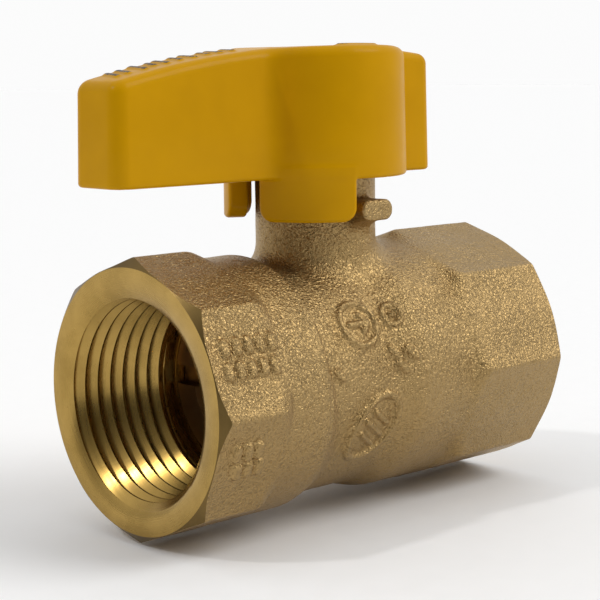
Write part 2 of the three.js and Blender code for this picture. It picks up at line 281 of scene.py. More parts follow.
def blend_min(a, b, reach):
    """Joins two fields, with a fillet about reach wide where they meet."""
    mix = np.clip(0.5 + 0.5 * (b - a) / reach, 0, 1)
    return b + (a - b) * mix - reach * mix * (1 - mix)


def blend_max(a, b, reach):
    """Keeps what is inside both fields, with a rounded edge about reach wide."""
    return -blend_min(-a, -b, reach)


def rounded_edge(a, b, radius):
    """Keeps what is inside both fields, with a round of that radius where they meet at a right angle."""
    outer = np.hypot(np.maximum(a + radius, 0), np.maximum(b + radius, 0))
    return outer + np.minimum(np.maximum(a, b) + radius, 0) - radius


def rounded_bar(u, v, half_u, half_v, radius):
    """A rectangle with rounded corners, as a distance in its own plane."""
    du = np.abs(u) - (half_u - radius)
    dv = np.abs(v) - (half_v - radius)
    return np.hypot(np.maximum(du, 0), np.maximum(dv, 0)) + np.minimum(np.maximum(du, dv), 0) - radius


def smooth_step(value, start, end):
    part = np.clip((value - start) / (end - start), 0, 1)
    return part * part * (3 - 2 * part)


def octagon(y, z, apothem, corner_round):
    """Distance to an octagon with a corner at the top and its corners rounded."""
    angle = np.arctan2(y, z)
    folded = np.mod(angle, FACET_ANGLE) - FACET_ANGLE / 2
    radius = np.hypot(y, z)
    core = apothem - corner_round
    du = radius * np.cos(folded) - core
    dv = np.abs(radius * np.sin(folded)) - core * math.tan(FACET_ANGLE / 2)
    outside = np.hypot(np.maximum(du, 0), np.maximum(dv, 0))
    return np.where(du > 0, outside, du) - corner_round


def stroke(distance, half_width=RELIEF_STROKE):
    """Height, from 0 to 1, of a raised line at some distance from its middle."""
    start, end = STROKE_EDGE
    return 1 - smooth_step(distance, half_width + start, half_width + end)


def segment(u, v, start, end):
    """Distance to a straight line between two points of a plane."""
    along = np.array(end, float) - start
    part = np.clip(((u - start[0]) * along[0] + (v - start[1]) * along[1]) / (along @ along), 0, 1)
    return np.hypot(u - start[0] - part * along[0], v - start[1] - part * along[1])


def barrel_relief(x, y, z):
    """Plain raised marks on the waist: an arrow in a ring, a dot in a ring, bars in an oval and four pads."""
    angle = np.degrees(np.arctan2(-y, z))
    arc = math.radians(1) * (WAIST_R + 0.2)

    def centred(mark):
        return x - mark[0], (angle - mark[1]) * arc

    u, v = centred(ARROW_RING)
    tip = (ARROW_HALF, 0)
    marks = [np.abs(np.hypot(u, v) - ARROW_RING_R), segment(u, v, (-ARROW_HALF, 0), tip)]
    marks += [segment(u, v, tip, (ARROW_HALF - ARROW_BARB, side * ARROW_BARB)) for side in (-1, 1)]
    u, v = centred(DOT_RING)
    marks += [np.abs(np.hypot(u, v) - DOT_RING_R), np.hypot(u, v)]
    for mark, half in SLANT_PADS:
        marks.append(segment(*centred(mark), (-half, -half), (half, half)) - SLANT_PAD_EXTRA)
    u, v = centred(OVAL)
    across, along = (u * 0.8 + v * 0.6), (v * 0.8 - u * 0.6)
    wide, tall = OVAL_HALVES
    marks.append(np.abs(np.hypot(across / wide, along / tall) - 1) * (wide + 0.5))
    marks += [segment(across, along, (-half, place), (half, place)) for place, half in OVAL_BARS]
    height = stroke(np.minimum.reduce(marks))
    return height * (np.abs(x + 3.5) < 9) * (angle > 30) * (angle < 150)


def facet_relief(x, y, z, facet, rows):
    """Rows of plain oval pads on one inlet facet, each row a centre across the facet and its pads' places."""
    turn = math.radians(facet)
    across = z * math.sin(turn) - y * math.cos(turn)
    height = np.zeros(np.broadcast(x, y, z).shape)
    facing = (y * math.sin(turn) + z * math.cos(turn)) > APOTHEM - 2
    for middle, places in rows:
        for place in places:
            pad = segment(x - place, across - middle, (0, -PAD_HALF_LENGTH), (0, PAD_HALF_LENGTH))
            height = np.maximum(height, stroke(pad - PAD_EXTRA))
    return height * facing


def unevenness(x, y, z):
    """Slow waves of a few hundredths of a millimetre, as a forging's die-worn skin has."""
    waves = np.sin(0.55 * x + 1.3) * np.sin(0.62 * y + 0.4) * np.sin(0.58 * z + 2.1)
    ripple = np.sin(1.7 * x + 0.9 * y) * np.sin(1.5 * z - 1.1 * y + 0.7)
    return 0.035 * waves + 0.012 * ripple


def flats(x, radius, octagonal, side, runout):
    """One end's octagon, which runs out into the barrel."""
    end, lean, slope, softness = runout
    trim = (side * (end - x) + lean * (radius - APOTHEM)) * slope
    return blend_max(octagonal, trim, softness)


def pipe_field(x, y, z):
    """Both octagons, the barrel and its waist."""
    radius = np.hypot(y, z)
    octagonal = octagon(y, z, APOTHEM, CORNER_ROUND)
    inlet = flats(x, radius, octagonal, -1, INLET_RUNOUT)
    outlet = flats(x, radius, octagonal, 1, OUTLET_RUNOUT)
    drop = BARREL_R - WAIST_R
    softness = FALL_LENGTH + FALL_LENGTH_BELOW * smooth_step(-z, -6.0, 9.0)
    fall = smooth_step(x, BARREL_END - 0.2, BARREL_END + softness)
    rise = smooth_step(x, *SHOULDER)
    crease_off = (x - BARREL_END - 0.1) / CREASE_HALF_WIDTH
    groove = CREASE_DEPTH * np.exp(-(crease_off**2)) * smooth_step(z, -9.0, 3.0)
    barrel = radius - (BARREL_R - drop * fall + drop * rise) + groove
    ends = np.minimum(blend_min(inlet, barrel, 0.25), blend_min(outlet, barrel, 0.6))
    return np.maximum(np.minimum(ends, barrel), np.abs(x) - FACE - FACING_STOCK)


def peg_field(x, y, z):
    """The stop peg and the sloped rib under it."""
    up = z - PEG_Z
    past_end = -y - PEG_REACH
    before_start = y + PEG_START
    peg = rounded_bar(x, up, PEG_HALF_WIDTH, PEG_HALF_HEIGHT, PEG_HALF_HEIGHT - 0.05)
    peg = rounded_edge(peg, np.maximum(past_end, before_start), PEG_END_ROUND)
    down_share, out_share = RIB_SLOPE
    slope = (-up - RIB_HALF_HEIGHT) * down_share + (-y - NECK_R) * out_share
    rib = blend_max(rounded_bar(x, up + RIB_DROP, RIB_HALF_WIDTH, RIB_HALF_HEIGHT, RIB_ROUND), slope, 0.5)
    rib = np.maximum(np.maximum(rib, past_end + RIB_SHORTER), before_start)
    return blend_min(peg, rib, 0.7)


def body_field(x, y, z):
    """The forging, before its ports are machined."""
    neck = blend_max(np.hypot(x, y) - NECK_R, z - NECK_TOP, 0.4)
    neck = np.maximum(neck, NECK_START_Z - z)
    plain = blend_min(blend_min(pipe_field(x, y, z), neck, NECK_FILLET), peg_field(x, y, z), 1.0)
    relief = np.maximum(barrel_relief(x, y, z), facet_relief(x, y, z, UPPER_FACET, UPPER_PADS))
    relief = np.maximum(relief, facet_relief(x, y, z, LOWER_FACET, LOWER_PADS))
    return plain - RELIEF_HEIGHT * relief + unevenness(x, y, z)


def handle_field(x, y, z):
    """The cast handle: hub, lever, rear lobe, skirt tabs, neck pocket, stem hole and screw recess."""
    radius = np.hypot(x, y)
    middle = (LOBE_REACH - LEVER_REACH) / 2
    length = (LOBE_REACH + LEVER_REACH) / 2
    narrowing = np.maximum(z - HANDLE_BOTTOM, 0) * DRAFT
    bar = rounded_bar(x - middle, y, length, LEVER_HALF_WIDTH, LEVER_CORNER_R) + narrowing
    hub = radius - HUB_R
    plan = blend_min(hub + narrowing, bar, 1.6)
    crown = np.hypot(x, z - (HANDLE_TOP - TOP_RELIEF - CROWN_R)) - CROWN_R
    casting = rounded_edge(rounded_edge(plan, crown, TOP_ROUND), HANDLE_BOTTOM - z, BOTTOM_ROUND)
    casting = np.maximum(casting, -np.maximum(radius - SKIRT_R, z - POCKET_TOP))
    for span in SKIRT_TABS:
        casting = blend_min(casting, skirt_tab(radius, x, y, z, *span), 0.3)
    recess = np.maximum(radius - SCREW_RECESS_R, SCREW_SEAT - z)
    casting = blend_max(casting, -recess, 0.7)
    hole = np.maximum(radius - STEM_R, np.abs(x) - STEM_FLATS / 2) - SLACK
    casting = np.maximum(casting, -hole)
    return casting - TOP_RELIEF * top_relief(x, y) * (z > HANDLE_BOTTOM + 8)


def top_relief(x, y):
    """Plain raised bars on the lever's top and one strip on the hub, as heights from 0 to 1."""
    marks = [segment(x, y, (place, TOP_BAR_Y - half), (place + TOP_BAR_LEAN, TOP_BAR_Y + half))
             for place, half in TOP_BARS]
    marks.append(segment(x, y, *HUB_STRIP) - HUB_STRIP_EXTRA)
    return stroke(np.minimum.reduce(marks), TOP_STROKE)


def skirt_tab(radius, x, y, z, start, end):
    """One hanging tab, between two angles in degrees counted from -X towards -Y."""
    angle = np.arctan2(-y, -x)
    middle = math.radians((start + end) / 2)
    off = np.abs(np.mod(angle - middle + math.pi, 2 * math.pi) - math.pi)
    wall_middle = (HUB_R + SKIRT_R) / 2
    side = (off - math.radians((end - start) / 2)) * wall_middle
    face = rounded_edge(side, SKIRT_BOTTOM - z, TAB_CORNER_R)
    wall = np.abs(radius + np.maximum(z - HANDLE_BOTTOM, 0) * DRAFT - wall_middle) - (HUB_R - SKIRT_R) / 2
    tab = rounded_edge(wall, face, TAB_EDGE_R)
    return np.maximum(tab, z - HANDLE_BOTTOM - 1.5)


# ---- Meshes ------------------------------------------------------------------------------------------


def mesh_object(name, points, faces):
    """A mesh object from points in millimetres in the stem frame."""
    placed = np.asarray(points, float) * MM + (STEM_AXIS_X, 0, 0)
    mesh = bpy.data.meshes.new(name)
    mesh.from_pydata(placed.tolist(), [], [tuple(int(i) for i in face) for face in faces])
    mesh.validate()
    outward(mesh)
    obj = bpy.data.objects.new(name, mesh)
    bpy.context.scene.collection.objects.link(obj)
    mesh.polygons.foreach_set("use_smooth", np.ones(len(mesh.polygons), bool))
    return obj


def outward(mesh):
    """Turns every face over if the closed mesh is inside out."""
    mesh.calc_loop_triangles()
    corners = np.zeros(len(mesh.loop_triangles) * 3, np.int32)
    mesh.loop_triangles.foreach_get("vertices", corners)
    a, b, c = vertices(mesh)[corners].reshape(-1, 3, 3).transpose(1, 0, 2)
    if np.einsum("ij,ij->i", a, np.cross(b, c)).sum() < 0:
        mesh.flip_normals()


def vertices(mesh):
    flat = np.zeros(len(mesh.vertices) * 3)
    mesh.vertices.foreach_get("co", flat)
    return flat.reshape(-1, 3)


def slope_of(field, points):
    """The field's gradient at points."""
    reach = 0.03
    sides = [field(*(points + step).T) - field(*(points - step).T) for step in np.eye(3) * reach]
    return np.stack(sides, 1) / (2 * reach)


def surface_of(field, low, high, voxel):
    """Points and quads of a closed surface where the field is zero."""
    axes = [np.arange(start, stop + voxel, voxel) for start, stop in zip(low, high)]
    y, z = np.meshgrid(axes[1], axes[2], indexing="ij")
    band = 3 * voxel
    values = np.stack([np.clip(field(x, y, z), -band, band) for x in axes[0]]).astype(np.float32)
    grid = openvdb.FloatGrid(band)
    grid.copyFromArray(values)
    points, quads = grid.convertToQuads(0.0)
    points = points.astype(float) * voxel + low
    for _ in range(3):
        slope = slope_of(field, points)
        move = field(*points.T) / np.maximum((slope**2).sum(1), 0.3)
        points = points - np.clip(move, -voxel, voxel)[:, None] * slope
    return points, quads


def lathe(name, outline, axis, segments=128):
    """A closed outline of (radius, height) turned about X or Z. Points at radius 0 lie on the axis."""
    ring = np.linspace(0, 2 * math.pi, segments, endpoint=False)
    points, starts = [], []
    for radius, height in outline:
        starts.append(len(points))
        if radius < 1e-6:
            points.append((0, 0, height))
        else:
            points.extend((radius * math.cos(a), radius * math.sin(a), height) for a in ring)
    faces = []
    for k in range(len(outline)):
        here, there = starts[k], starts[(k + 1) % len(outline)]
        here_axis = outline[k][0] < 1e-6
        there_axis = outline[(k + 1) % len(outline)][0] < 1e-6
        for i in range(segments):
            j = (i + 1) % segments
            if here_axis and there_axis:
                continue
            if here_axis:
                faces.append((here, there + i, there + j))
            elif there_axis:
                faces.append((here + j, here + i, there))
            else:
                faces.append((here + j, here + i, there + i, there + j))
    points = np.array(points)
    if axis == "X":
        points = points[:, [2, 0, 1]]
    return mesh_object(name, points, faces)


def softened(outline, radius, steps=3):
    """The outline with each corner off the axis rounded by an arc-like curve."""
    result = []
    for k, corner in enumerate(outline):
        corner = Vector(corner)
        before = Vector(outline[k - 1]) - corner
        after = Vector(outline[(k + 1) % len(outline)]) - corner
        if corner.x < 1e-6 or before.length < 1e-6 or after.length < 1e-6:
            result.append(tuple(corner))
            continue
        reach = min(radius, 0.45 * before.length, 0.45 * after.length)
        start = corner + before.normalized() * reach
        end = corner + after.normalized() * reach
        for step in range(steps + 1):
            t = step / steps
            result.append(tuple(start * (1 - t) ** 2 + corner * 2 * t * (1 - t) + end * t * t))
    return result


def box_cutter(low, high):
    """A plain box, used only to cut other pieces."""
    (x0, y0, z0), (x1, y1, z1) = low, high
    points = [(x, y, z) for x in (x0, x1) for y in (y0, y1) for z in (z0, z1)]
    faces = [(0, 1, 3, 2), (4, 6, 7, 5), (0, 4, 5, 1), (2, 3, 7, 6), (0, 2, 6, 4), (1, 5, 7, 3)]
    return mesh_object("cutter", points, faces)


def combine(obj, tools, operation="DIFFERENCE"):
    """Cuts obj with each tool, or joins them, and removes the tools. Cut faces keep the tool's material."""
    for tool in tools:
        modifier = obj.modifiers.new("combine", "BOOLEAN")
        modifier.object = tool
        modifier.operation = operation
        modifier.solver = "MANIFOLD"
        apply_modifiers(obj)
        bpy.data.objects.remove(tool)


def apply_modifiers(obj):
    graph = bpy.context.evaluated_depsgraph_get()
    shaped = obj.evaluated_get(graph)
    mesh = bpy.data.meshes.new_from_object(shaped, preserve_all_data_layers=True, depsgraph=graph)
    obj.modifiers.clear()
    obj.data = mesh


def crease(obj, degrees=32):
    """Smooth shading, with edges sharper than the angle kept crisp."""
    obj.data.polygons.foreach_set("use_smooth", np.ones(len(obj.data.polygons), bool))
    obj.data.set_sharp_from_angle(angle=math.radians(degrees))


def thread_cutter(side):
    """The helical groove of one port's pipe thread: a right-hand screw whose solid cuts the groove."""
    columns = 120
    count = len(THREAD_PROFILE)
    rows = int(THREAD_TURNS * count)
    length = rows / count * PITCH
    start = FACE + THREAD_LEAD
    grid = np.zeros((columns, rows + 1, 3))
    for column in range(columns):
        angle = 2 * math.pi * column / columns
        for row in range(rows + 1):
            along, height = THREAD_PROFILE[row % count]
            depth = (row // count + along + column / columns) * PITCH
            fade = min(1, max(0, (length - depth) / THREAD_FADE))
            crest = THREAD_CREST_R - (depth - THREAD_LEAD) * THREAD_TAPER - THREAD_UNDERCUT
            radius = crest + height * THREAD_DEPTH * fade
            grid[column, row] = (start - depth, radius * math.sin(angle), radius * math.cos(angle))

    def index(column, row):
        return column * (rows + 1) + row

    faces = []
    for column in range(columns - 1):
        for row in range(rows):
            faces.append((index(column, row), index(column + 1, row),
                          index(column + 1, row + 1), index(column, row + 1)))
    last = columns - 1
    for row in range(rows - count):
        faces.append((index(last, row), index(0, row + count),
                      index(0, row + count + 1), index(last, row + 1)))
    first_edge = [index(c, 0) for c in range(columns)] + [index(0, row) for row in range(count, 0, -1)]
    last_edge = [index(c, rows) for c in range(columns)]
    last_edge += [index(last, rows - row) for row in range(1, count + 1)]
    points = list(grid.reshape(-1, 3))
    for edge, end_x in ((first_edge, start + 1.5), (last_edge[::-1], start - length - 2)):
        apex = len(points)
        points.append((end_x, 0, 0))
        faces.extend((apex, edge[(k + 1) % len(edge)], edge[k]) for k in range(len(edge)))
    points = np.array(points)
    if side < 0:
        points = points * (-1, -1, 1)
    return mesh_object("cutter", points, faces)


def port_cutters(side):
    """What machines one port: its face, entry cone and bore, its trimmed corners, and its thread."""
    inner = FACE - THREAD_TURNS * PITCH
    bore_end = inner - RUNOUT_DEPTH
    bore = [
        (0, FACE + 1), (FACING_R, FACE + 1), (FACING_R, FACE), (ENTRY_R, FACE),
        (THREAD_CREST_R, FACE - ENTRY_DEPTH), (THREAD_CREST_R - TAPER_LENGTH * THREAD_TAPER, inner),
        (CHAMBER_R if side < 0 else THREAD_CREST_R - OUTLET_BORE_STEP, bore_end), (0, bore_end),
    ]
    slope = CORNER_TRIM / (CORNER_R - FACE_RING_R)
    collar = [
        (FACE_RING_R, FACE), (FACE_RING_R - 1.0 / slope, FACE + 1.0), (CORNER_R + 2, FACE + 1.0),
        (CORNER_R + 2, FACE - CORNER_TRIM - 2 * slope),
    ]
    bore, collar = ([(radius, side * height) for radius, height in outline] for outline in (bore, collar))
    return lathe("cutter", bore, "X", 192), lathe("cutter", collar, "X", 192), thread_cutter(side)


# ---- Materials ---------------------------------------------------------------------------------------


def link(tree, value, socket):
    if isinstance(value, bpy.types.NodeSocket):
        tree.links.new(value, socket)
    else:
        socket.default_value = value


def add(tree, kind, inputs=(), **settings):
    """A node with its settings, and its inputs given by name or by number."""
    item = tree.nodes.new(kind)
    for key, value in settings.items():
        setattr(item, key, value)
    for key, value in dict(inputs).items():
        link(tree, value, item.inputs[key])
    return item


def sums(tree, operation, *values):
    return add(tree, "ShaderNodeMath", enumerate(values), operation=operation).outputs[0]


def noise(tree, coords, scale, detail=2.0, roughness=0.5, distortion=0.0):
    inputs = {"Vector": coords, "Scale": scale, "Detail": detail, "Roughness": roughness}
    inputs["Distortion"] = distortion
    return add(tree, "ShaderNodeTexNoise", inputs).outputs["Fac"]


def remap(tree, value, low, high, new_low, new_high):
    inputs = {"Value": value, 1: low, 2: high, 3: new_low, 4: new_high}
    return add(tree, "ShaderNodeMapRange", inputs).outputs[0]


def blend(tree, factor, first, second):
    """A colour between two others."""
    item = add(tree, "ShaderNodeMix", data_type="RGBA")
    for socket, value in zip([s for s in item.inputs if s.type == "RGBA"], (first, second)):
        link(tree, value, socket)
    link(tree, factor, item.inputs[0])
    return [s for s in item.outputs if s.type == "RGBA"][0]


def bump(tree, height, distance, strength=1.0):
    inputs = {"Height": height, "Distance": distance, "Strength": strength}
    return add(tree, "ShaderNodeBump", inputs).outputs[0]


def surface(name, metallic):
    """A material, its node tree, its shader and the coordinates of its piece."""
    material = bpy.data.materials.new(name)
    material.use_nodes = True
    tree = material.node_tree
    shader = tree.nodes["Principled BSDF"]
    shader.inputs["Metallic"].default_value = metallic
    coords = add(tree, "ShaderNodeTexCoord").outputs["Object"]
    return material, tree, shader, coords


def set_up(tree, shader, **inputs):
    """Sets shader inputs, given by their names in small letters, to values or to other nodes' outputs."""
    for key, value in inputs.items():
        link(tree, value, shader.inputs[key.replace("_", " ").title()])


def rgba(*color):
    return (*color, 1)


def cloudy(tree, coords, scale, first, second):
    """A colour that drifts between two others in clouds."""
    cloud = remap(tree, noise(tree, coords, scale, 3.0), 0.35, 0.65, 0.0, 1.0)
    return blend(tree, cloud, rgba(*first), rgba(*second))


def forged_brass():
    """Grit-blasted forging: a wormy grain of about 0.3 mm, darker in its hollows, calmer in patches."""
    material, tree, shader, coords = surface("forged_brass", 1.0)
    grain = noise(tree, coords, 3100, 1.4, 0.5, 0.8)
    swell = noise(tree, coords, 900, 2.0)
    height = sums(tree, "ADD", grain, sums(tree, "MULTIPLY", swell, 0.5))
    patches = noise(tree, coords, 95, 3.0, 0.6)
    place = add(tree, "ShaderNodeSeparateXYZ", {0: coords}).outputs["X"]
    calm_end = remap(tree, sums(tree, "SUBTRACT", place, STEM_AXIS_X), 0.011, 0.016, 1.0, 0.85)
    strength = sums(tree, "MULTIPLY", remap(tree, patches, 0.38, 0.62, 0.65, 1.0), calm_end)
    tone = blend(tree, noise(tree, coords, 70, 3.0, 0.5), rgba(0.375, 0.25, 0.103), rgba(0.43, 0.29, 0.123))
    hollow = remap(tree, grain, 0.3, 0.5, 0.0, 1.0)
    color = blend(tree, hollow, rgba(0.31, 0.203, 0.079), tone)
    roughness = remap(tree, patches, 0.35, 0.65, 0.42, 0.33)
    set_up(tree, shader, base_color=color, roughness=roughness, normal=bump(tree, height, 0.00033, strength))
    return material


def turned_metal(name, color, darker, roughness, axis="X", marks=0.000004):
    """Turned metal: fine tool marks that run round the pipe axis or the stem axis, and faint stains."""
    material, tree, shader, coords = surface(name, 1.0)
    parts = add(tree, "ShaderNodeSeparateXYZ", {0: coords}).outputs
    x = sums(tree, "SUBTRACT", parts["X"], STEM_AXIS_X)
    first, second, axial = (parts["Y"], parts["Z"], x) if axis == "X" else (x, parts["Y"], parts["Z"])
    squares = [sums(tree, "MULTIPLY", part, part) for part in (first, second)]
    radius = sums(tree, "SQRT", sums(tree, "ADD", *squares))
    place = sums(tree, "ADD", radius, sums(tree, "MULTIPLY", axial, 0.7))
    lines, bands = (
        add(tree, "ShaderNodeTexNoise", {"W": place, "Scale": scale, "Detail": detail}, noise_dimensions="1D")
        .outputs["Fac"] for scale, detail in ((5200, 3.0), (900, 2.0))
    )
    stains = noise(tree, coords, 160, 4.0, 0.6)
    tint = blend(tree, remap(tree, stains, 0.35, 0.7, 0.0, 1.0), rgba(*darker), rgba(*color))
    gloss = sums(tree, "ADD", remap(tree, stains, 0.3, 0.7, roughness + 0.07, roughness - 0.03),
                 remap(tree, lines, 0.3, 0.7, -0.03, 0.03))
    normal = bump(tree, sums(tree, "ADD", lines, bands), marks, 0.8)
    set_up(tree, shader, base_color=tint, roughness=gloss, normal=normal)
    return material


def yellow_coat():
    """Baked yellow enamel under a clear gloss, with a faint orange peel."""
    material, tree, shader, coords = surface("yellow_coat", 0.0)
    color = cloudy(tree, coords, 130, (0.535, 0.266, 0.0008), (0.58, 0.291, 0.001))
    fine = sums(tree, "MULTIPLY", noise(tree, coords, 2600, 2.0), 0.25)
    peel = sums(tree, "ADD", noise(tree, coords, 650, 2.0), fine)
    normal = bump(tree, peel, 0.00001, 0.6)
    roughness = remap(tree, noise(tree, coords, 420, 2.0), 0.35, 0.65, 0.3, 0.38)
    set_up(tree, shader, base_color=color, roughness=roughness, normal=normal, coat_normal=normal)
    shader.inputs["Coat Weight"].default_value = 0.06
    shader.inputs["Coat Roughness"].default_value = 0.06
    shader.inputs["Specular IOR Level"].default_value = 0.03
    return material


def dark_print():
    """Dark ink on top of the handle's raised bars, worn through in specks to the yellow."""
    material, tree, shader, coords = surface("dark_print", 0.0)
    worn = remap(tree, noise(tree, coords, 2400, 3.0, 0.7), 0.56, 0.64, 0.0, 1.0)
    color = blend(tree, worn, rgba(0.035, 0.022, 0.01), rgba(0.36, 0.19, 0.006))
    roughness = remap(tree, noise(tree, coords, 900), 0.35, 0.65, 0.38, 0.55)
    set_up(tree, shader, base_color=color, roughness=roughness, normal=bump(tree, worn, 0.00002, 0.5))
    return material


def fine_surface(name, metallic, color, other, roughness, grain, depth):
    """A surface with cloudy colour, uneven gloss and a fine relief."""
    material, tree, shader, coords = surface(name, metallic)
    relief = noise(tree, coords, grain, 3.0, 0.6)
    gloss = remap(tree, relief, 0.3, 0.7, roughness * 0.8, roughness * 1.25)
    tint = cloudy(tree, coords, grain / 8, color, other)
    set_up(tree, shader, base_color=tint, roughness=gloss, normal=bump(tree, relief, depth, 0.7))
    return material


FORGED = forged_brass()
PORT_BRASS = turned_metal("machined_brass", (0.48, 0.31, 0.088), (0.36, 0.228, 0.06), 0.24, marks=0.000006)
# The trimmed port corners get a much darker copy of the machined brass: painted shade for corner cones that
# face away from the light.
SHADED_CORNER_BRASS = turned_metal("corner_brass_painted_shade", (0.19, 0.124, 0.043), (0.14, 0.09, 0.03), 0.36, marks=0.00001)
# The seat retainer sits deep in the inlet bore; its darkened brass is painted shade for the shade that falls
# there.
SHADED_RETAINER_BRASS = turned_metal("retainer_brass_painted_shade", (0.3, 0.165, 0.065), (0.22, 0.12, 0.045), 0.42)
STEM_BRASS = turned_metal("turned_brass", (0.62, 0.43, 0.17), (0.52, 0.35, 0.13), 0.24, axis="Z")
YELLOW = yellow_coat()
PRINT = dark_print()
CHROME = fine_surface("chrome_plate", 1.0, (0.72, 0.73, 0.75), (0.66, 0.67, 0.69), 0.09, 1800, 0.0000015)
PTFE = fine_surface("ptfe", 0.0, (0.83, 0.82, 0.78), (0.76, 0.75, 0.71), 0.45, 1500, 0.000006)
NITRILE = fine_surface("nitrile", 0.0, (0.02, 0.02, 0.021), (0.03, 0.03, 0.031), 0.4, 2200, 0.000006)
ZINC = fine_surface("zinc_steel", 1.0, (0.60, 0.61, 0.64), (0.52, 0.53, 0.55), 0.3, 1300, 0.000004)

# ---- Pieces ------------------------------------------------------------------------------------------


def keep(obj, body, slot, material, *nodes):
    """Sets a finished piece's material, unless it has one, and what it rides on and stands for."""
    if material:
        obj.data.materials.clear()
        obj.data.materials.append(material)
    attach(obj, body)
    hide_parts(*nodes)


def valve_body():
    """The forging with its machined ports, ball chamber and stem hole."""
    reach = 17.6
    low = (-FACE - 1, -reach, -reach)
    high = (FACE + 1, reach, NECK_TOP + 1)
    points, quads = surface_of(body_field, low, high, BODY_VOXEL)
    body = mesh_object("forged_body", points, quads)
    chamber = [(0, CHAMBER_START), (CHAMBER_R, CHAMBER_START), (CHAMBER_R, CHAMBER_END), (0, CHAMBER_END)]
    outlet = [(0, CHAMBER_END - 1), (PORT_R, CHAMBER_END - 1), (PORT_R, OUTLET_END), (0, OUTLET_END)]
    stem_hole = [
        (0, STEM_HOLE_LOW), (STEM_FOOT_HOLE_R, STEM_HOLE_LOW), (STEM_FOOT_HOLE_R, STEM_FOOT_HOLE_TOP),
        (STEM_HOLE_R, STEM_FOOT_HOLE_TOP), (STEM_HOLE_R, NECK_TOP + 1), (0, NECK_TOP + 1),
    ]
    inlet_bore, inlet_collar, inlet_thread = port_cutters(-1)
    outlet_bore, outlet_collar, outlet_thread = port_cutters(1)
    tools = [inlet_bore, inlet_collar, inlet_thread, outlet_bore, outlet_collar, outlet_thread]
    tools += [lathe("cutter", chamber, "X"), lathe("cutter", outlet, "X"), lathe("cutter", stem_hole, "Z")]
    for piece in [body] + tools:
        for material in (FORGED, PORT_BRASS, SHADED_CORNER_BRASS):
            piece.data.materials.append(material)
    # Collar cuts take material 2, the darker corner brass that paints shade on the trimmed corners; all other
    # cuts take the machined brass.
    for tool in tools:
        cut_material = 2 if tool in (inlet_collar, outlet_collar) else 1
        tool.data.polygons.foreach_set("material_index", np.full(len(tool.data.polygons), cut_material, np.int32))
    combine(body, tools)
    crease(body)
    keep(body, VALVE, "forged_brass", None, "valve_body")


def handle():
    """The cast lever, with dark print on the tops of its raised bars."""
    low = tuple(value - 1 for value in HANDLE_LOW)
    high = tuple(value + 1 for value in HANDLE_HIGH)
    points, quads = surface_of(handle_field, low, high, HANDLE_VOXEL)
    obj = mesh_object("cast_handle", points, quads)
    obj.data.materials.append(YELLOW)
    obj.data.materials.append(PRINT)
    middles = np.zeros(len(obj.data.polygons) * 3)
    obj.data.polygons.foreach_get("center", middles)
    x, y, z = (middles.reshape(-1, 3) / MM - (STEM_AXIS_X / MM, 0, 0)).T
    printed = (top_relief(x, y) > 0.8) & (z > HANDLE_BOTTOM + 9)
    obj.data.polygons.foreach_set("material_index", printed.astype(np.int32))
    crease(obj, 50)
    keep(obj, HANDLE_SET, "yellow_coat", None, "handle")


def ball():
    """The ball with its bore and its drive slot."""
    steps = np.linspace(-math.pi / 2, math.pi / 2, 65)
    sphere = [(BALL_R * math.cos(a) if abs(a) < 1.57 else 0, BALL_R * math.sin(a)) for a in steps]
    obj = lathe("ball_plug", sphere, "X")
    bore = lathe("cutter", [(0, -BALL_CUT), (PORT_R, -BALL_CUT), (PORT_R, BALL_CUT), (0, BALL_CUT)], "X")
    half = BALL_SLOT_HALF_WIDTH
    slot = box_cutter((-half, -BALL_CUT, BALL_SLOT_Z), (half, BALL_CUT, BALL_CUT))
    combine(obj, [bore, slot])
    crease(obj)
    keep(obj, BALL, "chrome_plate", CHROME, "ball")


def seat(side):
    """One seat ring, cupped to the ball."""
    outer = side * SEAT_OUTER_X
    outline = [(SEAT_BORE_R, outer), (SEAT_R, outer), (SEAT_R, side * SEAT_INNER_X)]
    inner_x = math.sqrt(SEAT_CUP_R**2 - SEAT_BORE_R**2)
    cup = [(math.sqrt(SEAT_CUP_R**2 - x**2), side * x) for x in np.linspace(SEAT_INNER_X, inner_x, 13)]
    name = "inlet_seat" if side < 0 else "outlet_seat"
    obj = lathe(name + "_ring", softened(outline, 0.25) + cup, "X")
    crease(obj)
    keep(obj, VALVE, "ptfe", PTFE, name)


def seat_retainer():
    """The threaded ring behind the inlet seat, with its tool slot."""
    low, high = RETAINER_X
    root = RETAINER_R - RETAINER_THREAD
    outline = [(PORT_R, low), (root, low)]
    turn = low + 0.4
    while turn < high - 0.7:
        outline += [(root, turn), (RETAINER_R, turn + RETAINER_THREAD / 2), (root, turn + RETAINER_THREAD)]
        turn += RETAINER_THREAD
    outline += [(root, high), (PORT_R, high)]
    obj = lathe("threaded_retainer", outline, "X")
    half = RETAINER_SLOT / 2
    slot = box_cutter((low - 1, -RETAINER_R - 1, -half), (low + RETAINER_SLOT_DEPTH, RETAINER_R + 1, half))
    combine(obj, [slot])
    crease(obj)
    # The retainer's darkened brass is painted shade.
    keep(obj, VALVE, "machined_brass", SHADED_RETAINER_BRASS, "seat_retainer")


